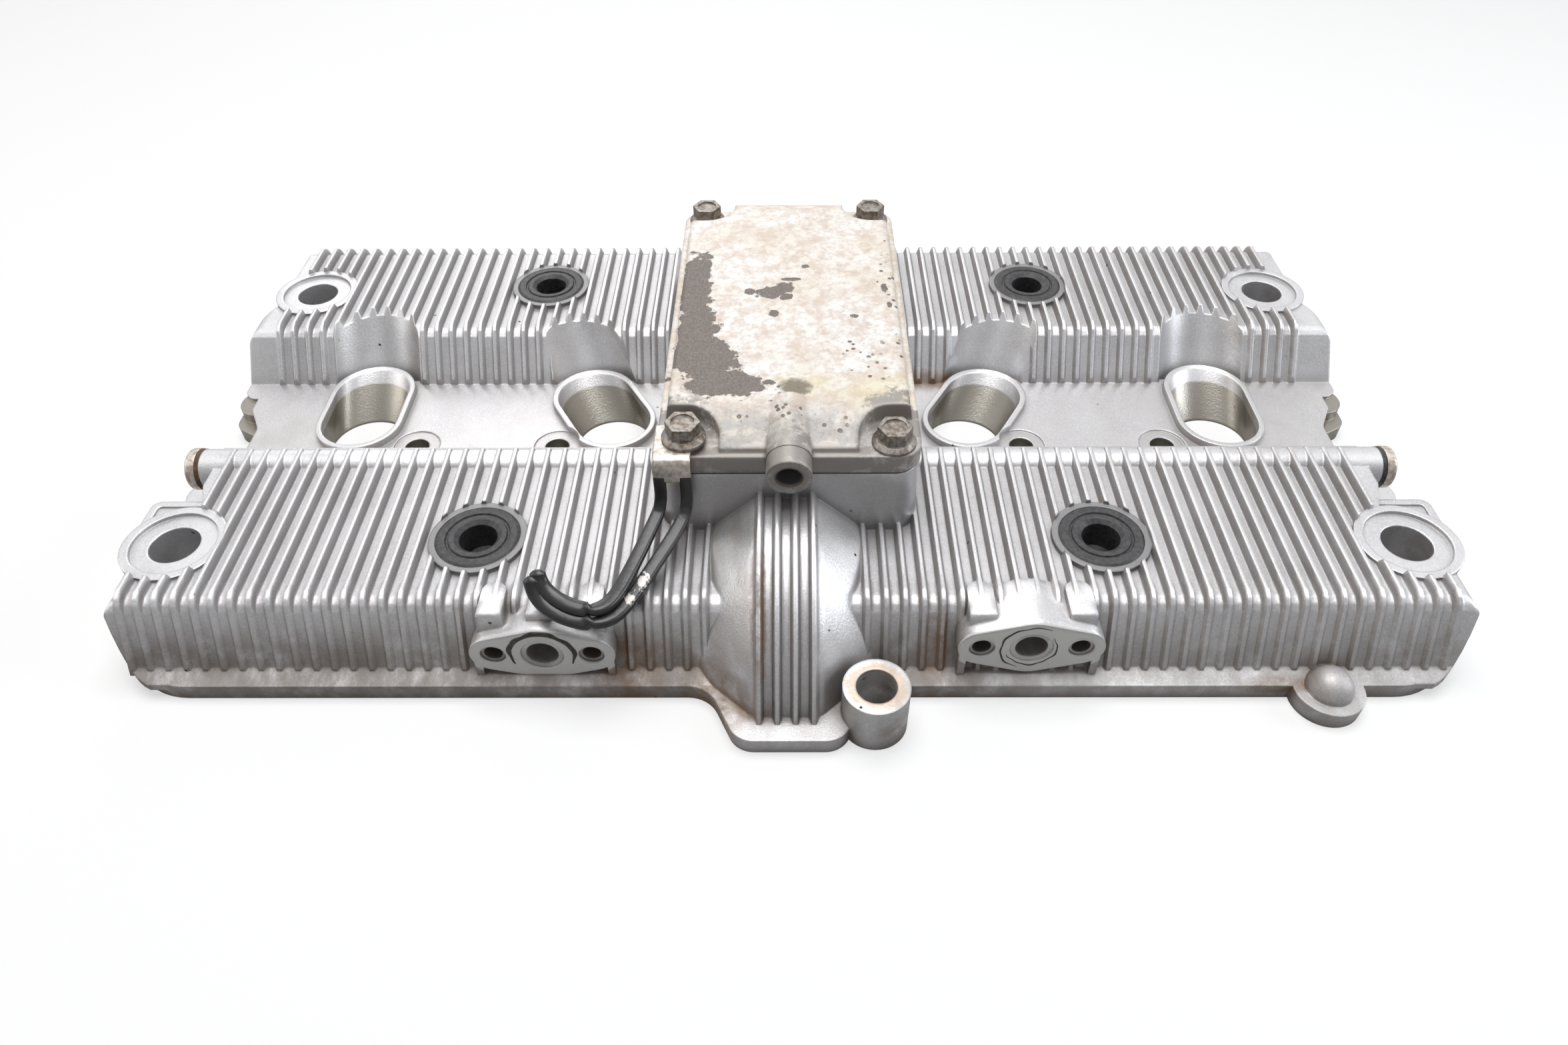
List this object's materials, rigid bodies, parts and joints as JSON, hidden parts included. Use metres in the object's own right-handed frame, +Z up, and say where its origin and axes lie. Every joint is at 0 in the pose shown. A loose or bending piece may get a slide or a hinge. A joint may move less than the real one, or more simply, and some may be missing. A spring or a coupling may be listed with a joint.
{
  "type": "engine valve cover",
  "caption": "Finned cast valve cover with sloped plug wells, a bolted breather chamber, two pipe flanges, rubber grommets and a hooked cable guide.",
  "frame": {"origin": "middle of the outline on the sealing face, the underside of the casting", "axes": "+X along the cover to the right seen from the pipe flanges, +Y from the front edge with the pipe flanges to the rear edge, +Z up out of the engine through the breather cover"},
  "size_m": [0.378, 0.2326, 0.0589],
  "materials": {
    "head_cover": "cast, silver, fine grain, brown grime low on the front wall",
    "breather_gasket": "thin black joint line",
    "breather_cover": "off-white paint, peeled to dark grey metal in patches",
    "bolt": "dull zinc, browned",
    "grommet": "matt black",
    "plug_washer": "dark, aged",
    "gallery_plug": "satin, slightly browned",
    "baffle_steel": "plain sheet steel",
    "cable_guide": "black dip coating, chipped to bare metal"
  },
  "bodies": {
    "root": {"head_cover": "head_cover", "breather_gasket": "breather_gasket", "breather_cover": "breather_cover", "breather_bolt_front_left": "bolt", "breather_bolt_front_right": "bolt", "breather_bolt_rear_left": "bolt", "breather_bolt_rear_right": "bolt", "grommet_front_left": "grommet", "grommet_front_right": "grommet", "grommet_rear_left": "grommet", "grommet_rear_right": "grommet", "gallery_plug_washer_left": "plug_washer", "gallery_plug_left": "gallery_plug", "gallery_plug_washer_right": "plug_washer", "gallery_plug_right": "gallery_plug", "baffle_screw_front": "baffle_steel", "baffle_screw_rear": "baffle_steel", "breather_baffle": "baffle_steel", "cable_guide": "cable_guide"}
  },
  "joints": []
}
